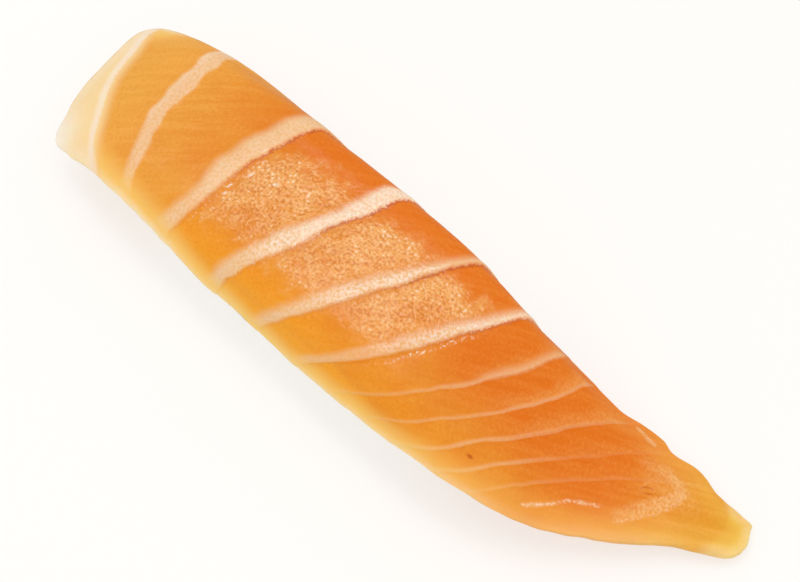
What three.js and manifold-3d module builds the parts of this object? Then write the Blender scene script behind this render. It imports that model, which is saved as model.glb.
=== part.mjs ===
// Salmon nigiri: a long slice of raw salmon draped over a pressed block of rice.
// Millimetres, +Z up, +X towards the narrow tail of the slice, origin at the bottom centre of the piece.
import * as THREE from "three";
import Module from "manifold-3d";

const wasm = await Module();
wasm.setup();

const DEG = Math.PI / 180;

// ---------- slice: laid flat, s runs along its middle from head end to tail, t runs across ----------
const SLICE_LENGTH = 113;
const SLICE_START_X = -53.33; // x of the head end at t = 0
const SLICE_SHIFT_Y = -1.5; // sideways place of the whole slice over the rice
const SLICE_TIP_Z = 2.7; // height of the upper skin at the tail end, t = 0
const PITCH = [ // slope of the middle line, degrees
  [0, 44], [9, 27], [19, 13], [31, 12], [57, -2], [71, -26], [84, -31], [97, -15], [113, -10],
];
const SIDEWAYS = [[0, 2.9], [56.5, 1.3], [113, -3.3]]; // slow bend of the middle line in y
// Flat half widths, the side at -Y then the side at +Y; a negative value puts that edge past the middle line.
const WIDTH_LEFT = [
  [0, 11], [5, 11.4], [9, 11.3], [17, 12.3], [24, 14.1], [38, 18.8], [52, 20.6],
  [66, 18], [80, 11.8], [86, 9.7], [92, 6.8], [100, 1], [106, -4.1], [113, -9.3],
];
const WIDTH_RIGHT = [
  [0, 11.2], [9, 12.2], [22, 15.4], [38, 18.4], [52, 20], [66, 18.8], [80, 14.2],
  [90, 13.1], [93.5, 14.3], [96.5, 14.8], [98.3, 14.1], [102, 14.9], [106, 14], [113, 13.6],
];
const HEAD_END = [[-11, 1.9], [-7.5, 1.9], [-5, 0.9], [-1, 0], [12, 0]]; // how far the end is cut back, by t
const HEAD_END_FADE = 14; // how far along the slice the rows take to straighten out
const CORNER_LEFT = 1.1; // corner radii of the flat outline, at the head end
const CORNER_RIGHT = 4;
const TIP_CORNER_LEFT = 1.1; // and at the tail
const TIP_CORNER_RIGHT = 0.7;
// Each side is nearly flat, then turns down by a bend: its angle, where it starts and how far it reaches.
const CROWN = 0.35 * DEG; // turn per mm everywhere, the slight crown of the top
const BEND_LEFT = [[0, 32], [19, 50], [43, 70], [72, 66], [91, 34], [113, 6]];
const BEND_LEFT_START = [[0, 4], [19, 5], [43, 5.5], [72, 5.5], [91, 5], [113, 5]];
const BEND_LEFT_REACH = [[0, 9], [113, 9]];
const BEND_RIGHT = [[0, 36], [19, 56], [43, 76], [72, 74], [91, 40], [113, 6]];
const BEND_RIGHT_START = [[0, 5], [19, 7], [43, 7.5], [72, 7], [91, 5.5], [113, 5]];
const BEND_RIGHT_REACH = [[0, 7], [19, 6.5], [43, 6], [72, 6], [91, 7], [113, 7]];
const SECTION_LEAN = 0.7; // share of the pitch that the cross-sections lean by
const SOFTER_START = 4; // the underside turns this much earlier than the top
const SOFTER_REACH = 8; // and over this much more length
const THICKNESS = [[0, 1.7], [8, 3], [20, 4.4], [60, 4.5], [84, 3.4], [100, 2.3], [113, 1.4]];
const EDGE_LEFT = 1.6; // thickness at the thin long edge
const EDGE_LEFT_TAPER = 11;
const EDGE_RIGHT = 2.9;
const EDGE_RIGHT_TAPER = 5;
const RIM_BULGE = 0.22; // roundness of the cut edge, as a share of its thickness
const SLICE_ROWS = 50;
const ROW_CROWDING = 0.6; // how much closer the rows stand at both ends
const SLICE_COLUMNS = 22;
const STEP = 0.25; // integration step along the section and the spine

// ---------- rice block ----------
const GAP = 0.3; // clearance between the rice and the slice
const CUT_RISE = 6; // how far above the slice the cut through the rice reaches
const RICE_CENTRE = new THREE.Vector2(-8.6, -0.8);
const RICE_HALF_LENGTH = 27;
const RICE_HALF_WIDTH = 9.7;
const RICE_SQUARENESS = 3; // exponent of the plan outline, 2 is an ellipse
const RICE_PROFILE = [[0, 0.92], [1.5, 0.96], [4, 0.99], [8, 1], [12, 0.98], [16, 0.92], [20, 0.8]];
const RICE_AROUND = 44;
const PLAN_STEP = 0.01; // step in radians for walking round the plan outline
const GRAIN = new THREE.Vector3(3.2, 1.3, 1.2); // half length, half height and half depth
const GRAIN_SIDES = 6;
const GRAIN_SHOULDER = 0.55; // where the grain is thickest, as a share of its half length
const GRAIN_SMALLEST = 0.85;
const GRAIN_LARGEST = 1.1;
const GRAIN_SPIN = 1.2; // largest turn of a grain in the block's side, radians
const GRAIN_TIP = 0.25; // largest turn of a grain out of that side
const GRAIN_WANDER = 0.4; // how far a grain strays up or down from its row
const GRAIN_SPACING = 5.2;
const GRAIN_ROW = 2.5;
const GRAIN_LOWEST = 1.4;
const GRAIN_SINK = 0.45; // how deep a grain's middle lies inside the block
const SEED = 11;

// Monotone cubic through [x, y] keys.
function keyed(keys, x) {
  const n = keys.length;
  if (x <= keys[0][0]) return keys[0][1];
  if (x >= keys[n - 1][0]) return keys[n - 1][1];
  let k = 0;
  while (x > keys[k + 1][0]) k++;
  const width = (i) => keys[i + 1][0] - keys[i][0];
  const slope = (i) => (keys[i + 1][1] - keys[i][1]) / width(i);
  const tangent = (i) => {
    if (i === 0) return slope(0);
    if (i === n - 1) return slope(n - 2);
    if (slope(i - 1) * slope(i) <= 0) return 0;
    const a = 2 * width(i) + width(i - 1);
    const b = width(i) + 2 * width(i - 1);
    return (a + b) / (a / slope(i - 1) + b / slope(i));
  };
  const h = width(k);
  const u = (x - keys[k][0]) / h;
  return (
    keys[k][1] * (1 + 2 * u) * (1 - u) ** 2 +
    keys[k + 1][1] * u * u * (3 - 2 * u) +
    h * tangent(k) * u * (1 - u) ** 2 -
    h * tangent(k + 1) * u * u * (1 - u)
  );
}

const smooth = (x) => THREE.MathUtils.smoothstep(x, 0, 1);

// What a rounded corner of radius r takes off the width at distance x from the end.
const cornerCut = (r, x) => r - Math.sqrt(Math.max(0, r * r - Math.max(0, r - x) ** 2));

const leftCorners = (s) =>
  cornerCut(CORNER_LEFT, s - HEAD_END[0][1]) + cornerCut(TIP_CORNER_LEFT, SLICE_LENGTH - s);
const rightCorners = (s) => cornerCut(CORNER_RIGHT, s) + cornerCut(TIP_CORNER_RIGHT, SLICE_LENGTH - s);
const leftEdge = (s) => leftCorners(s) - keyed(WIDTH_LEFT, s);
const rightEdge = (s) => keyed(WIDTH_RIGHT, s) - rightCorners(s);

// Angle of the section below level at distance t from the middle, for the top or the softer underside.
function sectionAngle(s, t, softer) {
  const left = t < 0;
  const turn = keyed(left ? BEND_LEFT : BEND_RIGHT, s) * DEG;
  const start = keyed(left ? BEND_LEFT_START : BEND_RIGHT_START, s) - (softer ? SOFTER_START : 0);
  const reach = keyed(left ? BEND_LEFT_REACH : BEND_RIGHT_REACH, s) + (softer ? SOFTER_REACH : 0);
  return CROWN * Math.abs(t) + turn * smooth((Math.abs(t) - start) / reach);
}

// The middle line of the upper skin, in x and z.
const spine = [new THREE.Vector2(SLICE_START_X, 0)];
for (let s = 0; s < SLICE_LENGTH; s += STEP) {
  const pitch = keyed(PITCH, s + STEP / 2) * DEG;
  const stride = new THREE.Vector2(STEP * Math.cos(pitch), STEP * Math.sin(pitch));
  spine.push(stride.add(spine[spine.length - 1]));
}
const spineDrop = SLICE_TIP_Z - spine[spine.length - 1].y;

// How far a section has gone sideways and down at distance t from the middle.
function sectionReach(s, t) {
  const n = Math.max(1, Math.ceil(Math.abs(t) / STEP));
  const dt = t / n;
  let side = 0;
  let down = 0;
  for (let i = 0; i < n; i++) {
    const angle = sectionAngle(s, (i + 0.5) * dt, false);
    side += dt * Math.cos(angle);
    down += Math.abs(dt) * Math.sin(angle);
  }
  return { side, down };
}

function thicknessAt(s, t) {
  const full = keyed(THICKNESS, s);
  const fromLeft = smooth((t - leftEdge(s)) / EDGE_LEFT_TAPER);
  const fromRight = smooth((rightEdge(s) - t) / EDGE_RIGHT_TAPER);
  const left = THREE.MathUtils.lerp(Math.min(full, EDGE_LEFT), full, fromLeft);
  const right = THREE.MathUtils.lerp(Math.min(full, EDGE_RIGHT), full, fromRight);
  return Math.min(left, right);
}

// A point at a depth below the upper skin, following the drape.
function slicePoint(s, t, depth) {
  const k = Math.min(spine.length - 2, Math.floor(s / STEP));
  const middle = spine[k].clone().lerp(spine[k + 1], s / STEP - k);
  const lean = SECTION_LEAN * keyed(PITCH, s) * DEG;
  const { side, down } = sectionReach(s, t);
  const inward = sectionAngle(s, t, true);
  const y = side - Math.sign(t) * depth * Math.sin(inward);
  const fall = down + depth * Math.cos(inward);
  return new THREE.Vector3(
    middle.x + fall * Math.sin(lean),
    y + keyed(SIDEWAYS, s) + SLICE_SHIFT_Y,
    middle.y + spineDrop - fall * Math.cos(lean),
  );
}

// The slice as a closed slab.
// For the cut through the rice, grow adds to its width and depth and rise lifts its upper skin.
function sliceSlab(grow, rise) {
  const rows = SLICE_ROWS;
  const columns = SLICE_COLUMNS;
  const at = (i, j) => {
    const turn = (2 * Math.PI * i) / rows;
    const row = (SLICE_LENGTH * (turn - ROW_CROWDING * Math.sin(turn))) / (2 * Math.PI);
    const along = (t) => row + keyed(HEAD_END, t) * Math.max(0, 1 - row / HEAD_END_FADE);
    const left = leftEdge(along(HEAD_END[0][0])) - grow;
    const t = THREE.MathUtils.lerp(left, rightEdge(row) + grow, j / columns);
    const s = along(t);
    return { s, t, thick: thicknessAt(s, t) };
  };
  const points = [];
  const faces = [];
  const upper = (i, j) => i * (columns + 1) + j;
  const count = (rows + 1) * (columns + 1);
  const lower = (i, j) => count + upper(i, j);
  for (const below of [false, true])
    for (let i = 0; i <= rows; i++)
      for (let j = 0; j <= columns; j++) {
        const { s, t, thick } = at(i, j);
        points.push(slicePoint(s, t, below ? thick + grow : -rise));
      }
  const quad = (a, b, c, d) => faces.push(a, b, c, a, c, d);
  for (let i = 0; i < rows; i++)
    for (let j = 0; j < columns; j++) {
      quad(upper(i, j), upper(i + 1, j), upper(i + 1, j + 1), upper(i, j + 1));
      quad(lower(i, j), lower(i, j + 1), lower(i + 1, j + 1), lower(i + 1, j));
    }
  // The rim: one row of points half way down, pushed a little outwards, round the whole outline.
  const loop = [];
  for (let i = 0; i < rows; i++) loop.push([i, 0]);
  for (let j = 0; j < columns; j++) loop.push([rows, j]);
  for (let i = rows; i > 0; i--) loop.push([i, columns]);
  for (let j = columns; j > 0; j--) loop.push([0, j]);
  const clampIn = (k, last) => Math.min(Math.max(k, 1), last - 1);
  const rim = loop.map(([i, j]) => {
    const top = points[upper(i, j)];
    const bottom = points[lower(i, j)];
    const outward = top.clone().sub(points[upper(clampIn(i, rows), clampIn(j, columns))]).normalize();
    const bulge = RIM_BULGE * top.distanceTo(bottom);
    return points.push(top.clone().lerp(bottom, 0.5).addScaledVector(outward, bulge)) - 1;
  });
  loop.forEach(([i, j], k) => {
    const next = (k + 1) % loop.length;
    const [ni, nj] = loop[next];
    quad(upper(i, j), rim[k], rim[next], upper(ni, nj));
    quad(rim[k], lower(i, j), lower(ni, nj), rim[next]);
  });
  return solidFrom(points, faces);
}

function solidFrom(points, faces) {
  const vertProperties = new Float32Array(points.flatMap((p) => [p.x, p.y, p.z]));
  return new wasm.Manifold(new wasm.Mesh({ numProp: 3, vertProperties, triVerts: new Uint32Array(faces) }));
}

// ---------- rice ----------
// A point of the block's plan outline, in the direction of angle a, scaled by k.
function planPoint(a, k) {
  const power = 2 / RICE_SQUARENESS;
  const x = Math.sign(Math.cos(a)) * Math.abs(Math.cos(a)) ** power;
  const y = Math.sign(Math.sin(a)) * Math.abs(Math.sin(a)) ** power;
  return new THREE.Vector2(x * RICE_HALF_LENGTH * k, y * RICE_HALF_WIDTH * k).add(RICE_CENTRE);
}

// The bare block: rings of the plan outline stacked up the profile, closed by a flat top and bottom.
function riceCore() {
  const points = [];
  const faces = [];
  RICE_PROFILE.forEach(([z, k]) => {
    for (let i = 0; i < RICE_AROUND; i++) {
      const p = planPoint((i / RICE_AROUND) * 2 * Math.PI, k);
      points.push(new THREE.Vector3(p.x, p.y, z));
    }
  });
  const last = RICE_PROFILE.length - 1;
  const corner = (ring, i) => ring * RICE_AROUND + (i % RICE_AROUND);
  for (let ring = 0; ring < last; ring++)
    for (let i = 0; i < RICE_AROUND; i++) {
      faces.push(corner(ring, i), corner(ring, i + 1), corner(ring + 1, i + 1));
      faces.push(corner(ring, i), corner(ring + 1, i + 1), corner(ring + 1, i));
    }
  const bottomMiddle = points.push(new THREE.Vector3(RICE_CENTRE.x, RICE_CENTRE.y, RICE_PROFILE[0][0])) - 1;
  const topMiddle = points.push(new THREE.Vector3(RICE_CENTRE.x, RICE_CENTRE.y, RICE_PROFILE[last][0])) - 1;
  for (let i = 0; i < RICE_AROUND; i++) {
    faces.push(bottomMiddle, corner(0, i + 1), corner(0, i));
    faces.push(topMiddle, corner(last, i), corner(last, i + 1));
  }
  return solidFrom(points, faces);
}

// A plain linear congruential generator, so that every build draws the same grains.
let randomState = SEED;
function random() {
  randomState = (randomState * 1664525 + 1013904223) % 2 ** 32;
  return randomState / 2 ** 32;
}

const randomBetween = (low, high) => low + (high - low) * random();

// One grain as a six-sided spindle of unit half length and half width, along x.
function grainShape() {
  const points = [new THREE.Vector3(1, 0, 0), new THREE.Vector3(-1, 0, 0)];
  const faces = [];
  for (const x of [GRAIN_SHOULDER, -GRAIN_SHOULDER])
    for (let i = 0; i < GRAIN_SIDES; i++) {
      const angle = (i / GRAIN_SIDES) * 2 * Math.PI;
      points.push(new THREE.Vector3(x, Math.cos(angle), Math.sin(angle)));
    }
  const front = (i) => 2 + (i % GRAIN_SIDES);
  const back = (i) => front(i) + GRAIN_SIDES;
  for (let i = 0; i < GRAIN_SIDES; i++) {
    faces.push(0, front(i), front(i + 1));
    faces.push(1, back(i + 1), back(i));
    faces.push(front(i), back(i), back(i + 1));
    faces.push(front(i), back(i + 1), front(i + 1));
  }
  return { points, faces };
}

// A grain lying against the block's side at plan angle a and height z, turned at random in that side.
function placedGrain(a, z) {
  const spin = randomBetween(-GRAIN_SPIN, GRAIN_SPIN);
  const tip = randomBetween(-GRAIN_TIP, GRAIN_TIP);
  const size = GRAIN.clone().multiplyScalar(randomBetween(GRAIN_SMALLEST, GRAIN_LARGEST));
  const k = keyed(RICE_PROFILE, z);
  const p = planPoint(a, k);
  const ahead = planPoint(a + PLAN_STEP, k).sub(p).normalize();
  const along = new THREE.Vector3(ahead.x, ahead.y, 0);
  const outward = new THREE.Vector3(ahead.y, -ahead.x, 0);
  const reachDown = Math.max(size.z, size.x * Math.abs(Math.sin(spin)));
  const middle = new THREE.Vector3(p.x, p.y, Math.max(z, reachDown)).addScaledVector(outward, -GRAIN_SINK);
  const pose = new THREE.Matrix4()
    .makeTranslation(middle)
    .multiply(new THREE.Matrix4().makeBasis(along, new THREE.Vector3(0, 0, 1), outward))
    .multiply(new THREE.Matrix4().makeRotationZ(spin))
    .multiply(new THREE.Matrix4().makeRotationY(tip))
    .scale(size);
  const { points, faces } = grainShape();
  return solidFrom(points.map((q) => q.applyMatrix4(pose)), faces);
}

// The block cut to the underside of the slice, with the grains of its sides fused on.
function riceBlock(clearance) {
  const core = riceCore().subtract(clearance);
  const top = RICE_PROFILE[RICE_PROFILE.length - 1][0];
  const grains = [];
  for (let z = GRAIN_LOWEST; z < top; z += GRAIN_ROW) {
    let a = randomBetween(0, GRAIN_SPACING / RICE_HALF_LENGTH);
    for (const end = a + 2 * Math.PI; a < end; ) {
      const grain = placedGrain(a, z + randomBetween(-GRAIN_WANDER, GRAIN_WANDER));
      const clear = grain.boundingBox().min[2] > 0 && grain.intersect(clearance).isEmpty();
      if (clear && !grain.intersect(core).isEmpty()) grains.push(grain);
      const here = planPoint(a, 1);
      const stride = GRAIN_SPACING * randomBetween(GRAIN_SMALLEST, GRAIN_LARGEST);
      while (planPoint(a, 1).distanceTo(here) < stride) a += PLAN_STEP;
    }
  }
  return wasm.Manifold.union([core, ...grains]);
}

// ---------- the piece ----------
function meshOf(solid, name, material) {
  const made = solid.getMesh();
  const geometry = new THREE.BufferGeometry();
  geometry.setAttribute("position", new THREE.BufferAttribute(new Float32Array(made.vertProperties), 3));
  geometry.setIndex(new THREE.BufferAttribute(new Uint32Array(made.triVerts), 1));
  const mesh = new THREE.Mesh(geometry, material);
  mesh.name = name;
  return mesh;
}

const salmonMaterial = new THREE.MeshStandardMaterial({ name: "salmon", color: 0xe8843a, roughness: 0.35 });
const riceMaterial = new THREE.MeshStandardMaterial({ name: "rice", color: 0xf3efe4, roughness: 0.55 });

const slice = sliceSlab(0, 0);
const clearance = sliceSlab(GAP, CUT_RISE);

const nigiri = new THREE.Group();
nigiri.name = "salmon_nigiri";
nigiri.add(meshOf(slice, "salmon_slice", salmonMaterial));
nigiri.add(meshOf(riceBlock(clearance), "rice_block", riceMaterial));

export default nigiri;
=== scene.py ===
"""Salmon nigiri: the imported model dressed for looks, with a plain studio round it.

The slice is described flat, in millimetres: s runs along its middle from the head end to the tail and t
runs across it. The same named sizes as in the part's source drape it over the rice.
"""

import math

import bpy
import numpy as np
from mathutils import Matrix, Vector
from mathutils.bvhtree import BVHTree


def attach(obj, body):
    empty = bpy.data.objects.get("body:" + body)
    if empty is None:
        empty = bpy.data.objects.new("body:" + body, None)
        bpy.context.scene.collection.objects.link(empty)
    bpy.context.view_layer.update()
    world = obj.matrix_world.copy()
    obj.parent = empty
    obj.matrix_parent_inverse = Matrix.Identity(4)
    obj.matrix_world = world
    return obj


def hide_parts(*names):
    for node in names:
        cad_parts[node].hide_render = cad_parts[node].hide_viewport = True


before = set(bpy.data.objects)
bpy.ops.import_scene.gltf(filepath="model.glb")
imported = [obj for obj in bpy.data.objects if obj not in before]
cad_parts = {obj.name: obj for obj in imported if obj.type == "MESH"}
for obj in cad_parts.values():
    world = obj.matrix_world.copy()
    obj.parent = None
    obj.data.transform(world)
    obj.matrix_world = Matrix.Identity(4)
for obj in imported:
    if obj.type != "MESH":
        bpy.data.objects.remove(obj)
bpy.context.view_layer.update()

MM = 0.001
DEG = math.pi / 180

# ---------- the slice's form, as in the part's source, with its ends a little more worn ----------
SLICE_LENGTH = 113
SLICE_START_X = -53.33
SLICE_SHIFT_Y = -1.5
SLICE_TIP_Z = 2.7
PITCH = [(0, 44), (9, 27), (19, 13), (31, 12), (57, -2), (71, -26), (84, -31), (97, -15), (113, -10)]
SIDEWAYS = [(0, 2.9), (56.5, 1.3), (113, -3.3)]
WIDTH_LEFT = [
    (0, 11), (5, 11.4), (9, 11.75), (17, 12.6), (24, 14.1), (38, 18.8), (52, 20.6),
    (66, 18), (80, 11.8), (86, 9.7), (92, 6.7), (100, 0.7), (106, -4.5), (113, -9.6),
]
WIDTH_RIGHT = [
    (0, 11.2), (9, 12.2), (22, 15.4), (38, 18.4), (52, 20), (66, 18.8), (80, 14.2),
    (90, 13.1), (93.5, 14.3), (96.5, 14.8), (98.3, 14.1), (102, 14.9), (106, 14), (113, 13.6),
]
HEAD_END = [(-11, 1.9), (-7.5, 1.9), (-5, 0.9), (-1, 0), (12, 0)]
CORNER_LEFT, CORNER_RIGHT = 1.1, 4
TIP_CORNER_LEFT, TIP_CORNER_RIGHT = 1.2, 0.3
CROWN = 0.35 * DEG
BEND_LEFT = [(0, 32), (19, 50), (43, 70), (72, 66), (91, 34), (113, 6)]
BEND_LEFT_START = [(0, 4), (19, 5), (43, 5.5), (72, 5.5), (91, 5), (113, 5)]
BEND_LEFT_REACH = [(0, 9), (113, 9)]
BEND_RIGHT = [(0, 36), (19, 56), (43, 76), (72, 74), (91, 40), (113, 6)]
BEND_RIGHT_START = [(0, 5), (19, 7), (43, 7.5), (72, 7), (91, 5.5), (113, 5)]
BEND_RIGHT_REACH = [(0, 7), (19, 6.5), (43, 6), (72, 6), (91, 7), (113, 7)]
SECTION_LEAN = 0.7
SOFTER_START, SOFTER_REACH = 4, 8
THICKNESS = [(0, 1.7), (8, 3), (20, 4.4), (60, 4.5), (84, 3.4), (100, 2.3), (113, 1.4)]
EDGE_LEFT, EDGE_LEFT_TAPER = 1.6, 11
EDGE_RIGHT, EDGE_RIGHT_TAPER = 2.9, 5

# ---------- what the skin of the slice shows ----------
ROWS_PER_MM = 4.4
COLUMNS = 172
COARSE = 4  # the underside has a row or column for each so many of the upper skin
RIM_ROWS = 4
RIM_SHARES = [k / (RIM_ROWS + 1) for k in range(1, RIM_ROWS + 1)]
RIM_BULGE = 0.22  # how far the cut edge is rounded out, as a share of its height
TABLE_S, TABLE_T = 0.5, 0.1  # steps of the section tables, mm
TABLE_REACH = 26

# Fat lines, from the head end: s where the line crosses t = -12, -6, 0, 6 and 12, its width at t = -10,
# -4, 1 and 8, how bold it is at t = -8 and 4, how far the flesh drops behind it, in mm, and how much
# that glints.
FAT_ACROSS = (-12, -6, 0, 6, 12)
FAT_WIDTH_ACROSS = (-10, -4, 1, 8)
FAT_BOLD_ACROSS = (-8, 4)
FAT_LINES = [
    ((12.5, 8.5, 4.4, 2.6, 0.8), (0.8, 1.2, 1.4, 1.4), (0.9, 0.95), 0.02, 0),
    ((19.2, 17.6, 15.6, 15.7, 15.6), (1.4, 1.9, 2.3, 2.6), (0.9, 1.0), 0.14, 0),
    ((26.8, 29.0, 29.6, 31.6, 34.0), (2.0, 2.5, 3.0, 3.1), (0.95, 0.96), 0.3, 1),
    ((38.3, 41.9, 44.9, 47.9, 50.5), (2.0, 2.8, 1.3, 2.2), (1.12, 1.25), 0.32, 0.3),
    ((48.3, 52.8, 56.7, 60.5, 64.3), (1.5, 1.9, 1.6, 0.7), (0.95, 1.0), 0.3, 0.15),
    ((57.5, 62.6, 66.2, 70.0, 73.4), (1.3, 1.6, 1.4, 0.8), (0.6, 1.16), 0.26, 1),
    ((64.6, 69.8, 73.9, 77.5, 80.1), (0.4, 0.5, 0.5, 0.6), (0.28, 0.8), 0.14, 0.2),
    ((69.5, 74.2, 79.0, 82.7, 85.2), (0.4, 0.4, 0.45, 0.5), (0.32, 0.42), 0.1, 0),
    ((73.8, 78.4, 83.1, 87.4, 91.5), (0.45, 0.5, 0.5, 0.4), (0.48, 0.28), 0.12, 0),
    ((77.5, 82.3, 87.2, 92.4, 97.0), (0.4, 0.45, 0.45, 0.3), (0.5, 0.12), 0.1, 0),
    ((81.0, 85.6, 90.5, 96.4, 102.5), (0.3, 0.4, 0.4, 0.4), (0.25, 0.12), 0.08, 0),
]
FAT_WANDER = 0.22  # how far a fat line strays from its even course, mm
FAT_RIDGE = 0.1  # how far a fat line stands proud, mm
FLARE, FLARE_REACH = 0.6, 3.5  # the lines widen by this share towards the left edge
THIN_FROM, THIN_FADE = 6, 0.8  # the thin lines fade by this share at the right edge
STEP_SHARE = 0.3  # share of the band over which the flesh comes back up
STEP_START = (-0.15, 0.35)  # where it begins to drop and is full, from the line's edge, mm
FULL_STEP = 0.3  # the step that the material takes as 1, mm
HAZES = [0, 0, 0, 0, 0.1, 0.25, 0.35, 0.5, 0.45, 0.2, 0.1]  # pale haze on each fat line's head side
HAZE_REACH = 2.2
HAZE_T = (-5, 5)  # where the haze begins and is full

# Marks near the tail and on the top, as s and t along each.
# The dotted line is a thin raised line whose dots are painted glints.
DOTTED_LINE = ((88.5, -6.4), (91.2, -3.5), (92.8, -1.2), (95.9, 1.0))
FOLD_LINE = ((93.2, 13.2), (95.6, 13.0), (97.6, 12.4), (98.6, 12.0))
SHORT_LINES = (DOTTED_LINE, FOLD_LINE)
SHORT_WIDTH, SHORT_BOLD = 0.2, 0.65
DOTS_HALF = 0.24
# A rough film, and its crisp edge drawn as a line of painted glints.
MEMBRANE = [(96.9, 9.5), (99.5, 11), (102.6, 10.4), (102.5, 8.8), (101.1, 6.4), (98.4, 1.9)]
MEMBRANE_EDGE = [(98.7, 1.1), (100.1, 3), (101.8, 5.4), (102.5, 6.8), (102.9, 8.4), (103.1, 10.5)]
MEMBRANE_HALF, MEMBRANE_EDGE_HALF = 0.9, 0.2
GLEAMS = [  # short wet glints
    ((31.9, 3.3), (32.1, 3.9)), ((32.6, -0.2), (32.9, 0.5)), ((31.4, -2.9), (31.6, -2.4)),
    ((31.6, -4.0), (31.7, -3.7)), ((36.4, 0.8), (36.6, 1.1)),
]
GLEAM_HALF = 0.13
# The creases round the oval are darkened with painted shade.
PUCKERS = [  # short dark creases around the oval
    ((98.4, 6.6), (98.8, 7.2), (99.3, 7.5), (99.7, 7.6)),
    ((99.1, 6.4), (99.5, 6.7), (99.95, 7.1)),
]
PUCKER_HALF = 0.11

# Round marks, as s, t and half axes.
OVAL = (99.2, 7.1, 0.7, 0.8)  # puckered spot
PATCH = (100.8, 9.8, 4.0, 1.8)  # rough pale spot
FLECK = (79.3, -7.5, 0.4, 0.18)  # dark fleck

# Relief and grain of the skin.
UNDULATION = 0.26  # slow unevenness, mm
GRAIN_RELIEF = 0.07  # fine wet grain of the top, mm
OVAL_RELIEF, PATCH_RELIEF = 0.06, 0.12  # mm
GRAIN_SIZE = 0.42  # spacing of the grains across the fibres, mm
GRAIN_DRAWN_OUT = 1.4  # how much longer they are along the fibres
FIBRE_TURN = 33 * DEG  # the fibres' turn from the slice's length towards +t
FIBRE_STRETCH = 0.08  # how much slower their noise changes along them
# Where the grain is thicker and its painted sheen brighter, as s, t and reach.
SHEEN_CLUMPS = [(36, 1, 2.2), (41.5, 2.7, 1.8), (51, 0.7, 2.6), (61, 1.9, 2.2), (42.5, -5.6, 1.6)]
EDGE_WANDER = 0.25  # unevenness of the cut outline, mm
TIP_END = [(9.5, 112.9), (11, 112.9), (13.6, 111.7)]  # t and s along the worn end of the tail

# Where the flesh changes: the s or t at which each change begins and is full.
# AMBER and FLANK mark painted light shining through the thin left flank.
AMBER_T, AMBER_HEAD_S, AMBER_TAIL_S, AMBER_WEAKER_S = (-5, -13), (16, 30), (98, 78), (48, 60)
FLANK_T, FLANK_TAIL_S = (-11, -15), (72, 62)
HEAD_S, HEAD_LEFT_S, HEAD_LEFT_T = (30, 8), (30, 24), (-1, -7)
TAIL_S = (95, 111)
# Along the right side the deeper orange is painted shade.
DEEP_SHADE_RIGHT_S, DEEP_SHADE_RIGHT_T = (20, 40), (2, 8)
DEEP_BACK_S, DEEP_BACK_T = (60, 72), (-7, 1)
DEEP_TAIL_S = (106, 92)
MEMBRANE_S = (97, 102)
SHEEN_LEFT_T, SHEEN_RIGHT_T = (-11, -3), (9.2, 2.7)
SHEEN_HEAD, SHEEN_TAIL = (1, 4), (3, -1)  # counted from the third and from the sixth fat line
# The pale head end, tip and corner are painted light shining through the thin slice.
BEYOND_REACH = 3.2  # how far behind the first fat line the pale head end fades out
TIP_PALES = 2.5  # length of the pale tip
CORNER_PALES = 8  # how far the head's left corner pales

# How strongly the cut edge pales into yellow and then cream, by s: painted light shining through the thin
# edge.
YELLOW_LEFT = [
    (0, 1), (66, 1), (76, 0.75), (83, 0.45), (90, 0.3), (96, 0.45), (102, 0.5), (107, 0.9), (113, 1),
]
CREAM_LEFT = [
    (0, 1), (9, 1), (14, 0.6), (19, 0.9), (26, 0.9), (30, 0.45), (38, 0.4), (42, 0.15), (47, 0.15),
    (51, 0.5), (70, 0.5), (84, 0.3), (88, 0.15), (104, 0.2), (108, 0.4),
]
YELLOW_RIGHT = [
    (0, 1), (5, 1), (8, 0.25), (13, 0), (84, 0), (92, 0.15), (98, 0.25), (104, 0.3), (109, 0.4), (112, 1),
]
CREAM_RIGHT = [(0, 1), (5, 0.9), (9, 0), (113, 0)]

# ---------- rice ----------
RICE_CENTRE = (-8.6, -0.8)
RICE_HALF_LENGTH, RICE_HALF_WIDTH = 27, 9.7
RICE_SQUARENESS = 3
RICE_PROFILE = [(0, 0.92), (1.5, 0.96), (4, 0.99), (8, 1), (12, 0.98), (16, 0.92), (20, 0.8)]
RICE_AROUND, RICE_RINGS = 160, 40
BOTTOM_RINGS, BOTTOM_WIDTH, TOP_RINGS = 6, 0.9, 10
RICE_GAP = 0.35  # clearance under the slice, mm
CORE_INSET = 0.6  # the core in the scene lies this much inside, so that the grains cover it
CORE_FOOT = 0.06  # share by which the core narrows at its foot
GRAIN_HALF = (3.05, 1.36, 1.28)  # half length, half height, half depth
GRAIN_SEGMENTS, GRAIN_STATIONS = 12, 9
GRAIN_ROUND, GRAIN_BLUNT = 2.2, 2.4  # exponents of its outline
GRAIN_BEND = 0.16
GRAIN_SIZES, GRAIN_LENGTHS = (0.86, 1.08), (0.9, 1.08)  # as shares
GRAIN_SPIN, GRAIN_TIP = 1.25, 0.3  # largest turns in the block's side and out of it, radians
GRAIN_LAYERS = ((1.3, 1.9, 3.9), (0.35, 2.15, 4.4))  # how deep the middles lie, row height, spacing
ROW_WAVER, SPACING_SHARES = 0.5, (0.8, 1.2)
FOOT_ROW = 1.6  # grains whose middle is lower lie level, and the core narrows below it
FOOT_SPIN, FOOT_TIP = 0.12, 0.3  # shares of their turns that level grains keep
SPUN_ROOM = 0.35  # what a turned grain needs besides its slanting half length, mm
GROUND_CLEARANCE, SLICE_CLEARANCE = 0.02, 0.12  # of a grain, mm
WALK_STEP = 0.01  # for walking round the plan outline, radians
SEED = 11
LATTICE, LATTICE_START = 97, 40.5  # size of the noise lattice, and where on it 0 falls


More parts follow.
